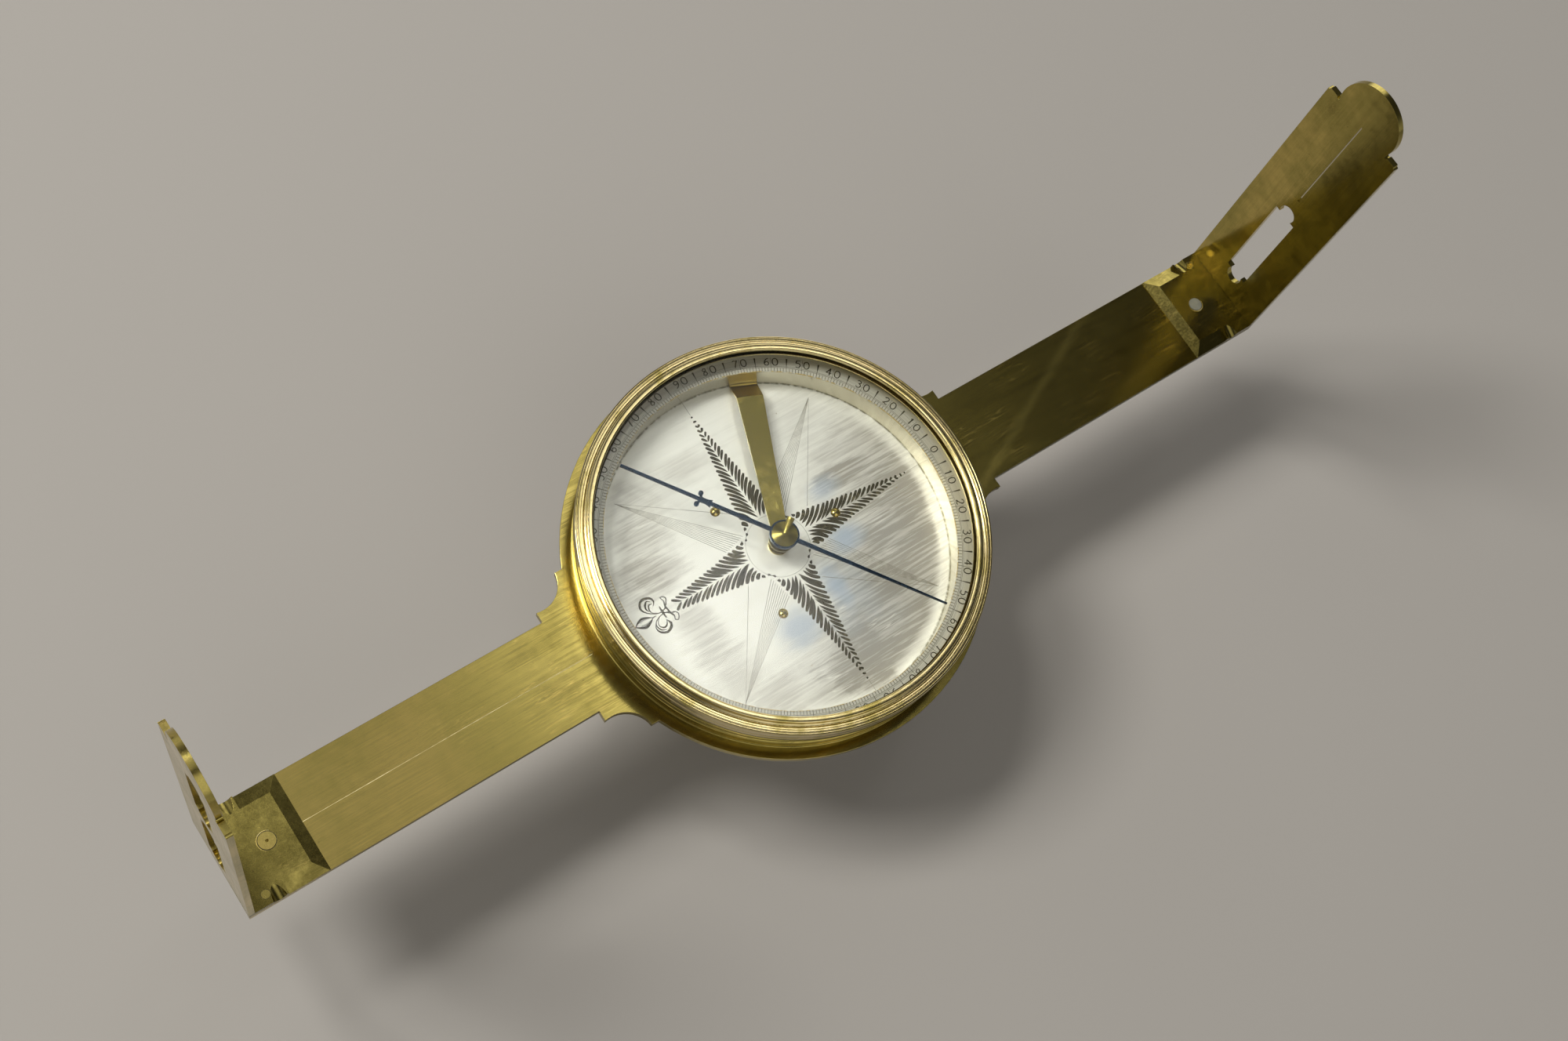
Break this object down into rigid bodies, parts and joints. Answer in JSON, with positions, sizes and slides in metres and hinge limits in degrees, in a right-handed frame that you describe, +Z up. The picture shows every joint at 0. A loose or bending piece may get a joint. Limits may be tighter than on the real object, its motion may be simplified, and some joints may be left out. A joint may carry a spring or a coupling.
{
  "type": "surveyors compass",
  "caption": "Plain surveying compass: glazed round dial box with a pivoted needle on a long brass plate, tall slotted sight vanes at both ends and a staff socket underneath.",
  "frame": {"origin": "centre of the staff socket's mouth, at the bottom of the instrument", "axes": "+Z up along the staff and needle pivot, +Y along the sight line to the north vane, +X toward the side that carries the lifter"},
  "size_m": [0.142, 0.399, 0.1919],
  "materials": {
    "brass_plate": "aged, dark olive, brushed along its length",
    "brass_box": "aged, turned, semi-gloss",
    "silvered_dial": "silvered, satin, lightly tarnished",
    "silvered_ring": "silvered, satin, lightly tarnished",
    "brass_small": "aged, semi-gloss",
    "brass_rivet": "polished head, aged",
    "pivot_steel": "hardened, ground",
    "brass_socket": "aged, turned",
    "brass_bezel": "aged, turned, semi-gloss",
    "cover_glass": "clear, polished",
    "brass_lifter": "aged, dark, drawn strip",
    "blued_steel": "blued, semi-gloss",
    "brass_cap": "aged, turned, semi-gloss",
    "agate": "polished",
    "brass_north_vane": "aged, mottled, semi-gloss",
    "brass_south_vane": "aged, mottled, semi-gloss",
    "brass_screw": "aged, semi-gloss",
    "steel_screw": "grey, worn"
  },
  "bodies": {
    "compass_body": {"main_plate": "brass_plate", "compass_box": "brass_box", "dial_plate": "silvered_dial", "degree_ring": "silvered_ring", "ring_screws": "brass_small", "socket_rivets": "brass_rivet", "pivot_post": "brass_small", "pivot_point": "pivot_steel", "staff_socket": "brass_socket", "steady_pins": "brass_small", "lifter_rivet": "brass_small"},
    "bezel": {"bezel_ring": "brass_bezel", "cover_glass": "cover_glass", "glass_retainer": "brass_bezel"},
    "lifter": {"lifter_arm": "brass_lifter"},
    "lift_screw_body": {"lift_screw": "brass_small"},
    "needle_body": {"needle": "blued_steel", "needle_cap": "brass_cap", "cap_jewel": "agate", "cap_peg": "brass_cap"},
    "north_vane_body": {"north_vane": "brass_north_vane"},
    "south_vane_body": {"south_vane": "brass_south_vane"},
    "north_screw_body": {"north_thumbscrew": "brass_screw"},
    "south_screw_body": {"south_thumbscrew": "steel_screw"},
    "clamp_screw_body": {"socket_clamp_screw": "brass_screw"}
  },
  "joints": [
    {"name": "bezel_lift", "type": "slide", "parent": "compass_body", "child": "bezel", "axis": [0, 0, 1], "range_m": [0, 0.02]},
    {"name": "lift_screw_turn", "type": "hinge", "parent": "compass_body", "child": "lift_screw_body", "pos_m": [0.03523, -0.01423, 0.0615], "axis": [0, 0, 1], "range_deg": [0, 360]},
    {"name": "lifter_tilt", "type": "hinge", "parent": "compass_body", "child": "lifter", "pos_m": [0.05702, -0.02304, 0.06645], "axis": [0.3746, 0.9272, 0], "range_deg": [0, 0.85]},
    {"name": "needle_spin", "type": "hinge", "parent": "lifter", "child": "needle_body", "pos_m": [0, 0, 0.0756], "axis": [0, 0, 1], "continuous": true},
    {"name": "north_vane_lift", "type": "slide", "parent": "compass_body", "child": "north_vane_body", "axis": [0, 0, 1], "range_m": [0, 0.02]},
    {"name": "south_vane_lift", "type": "slide", "parent": "compass_body", "child": "south_vane_body", "axis": [0, 0, 1], "range_m": [0, 0.02]},
    {"name": "north_screw_turn", "type": "hinge", "parent": "compass_body", "child": "north_screw_body", "pos_m": [0, 0.1845, 0.06], "axis": [0, 0, -1], "range_deg": [0, 1080]},
    {"name": "south_screw_turn", "type": "hinge", "parent": "compass_body", "child": "south_screw_body", "pos_m": [0, -0.1845, 0.06], "axis": [0, 0, -1], "range_deg": [0, 1080]},
    {"name": "clamp_screw_turn", "type": "hinge", "parent": "compass_body", "child": "clamp_screw_body", "pos_m": [0.02, 0, 0.018], "axis": [1, 0, 0], "range_deg": [-360, 720]}
  ],
  "couplings": [
    {"joint": "lifter_tilt", "follows": "lift_screw_turn", "ratio": 0.0023}
  ]
}
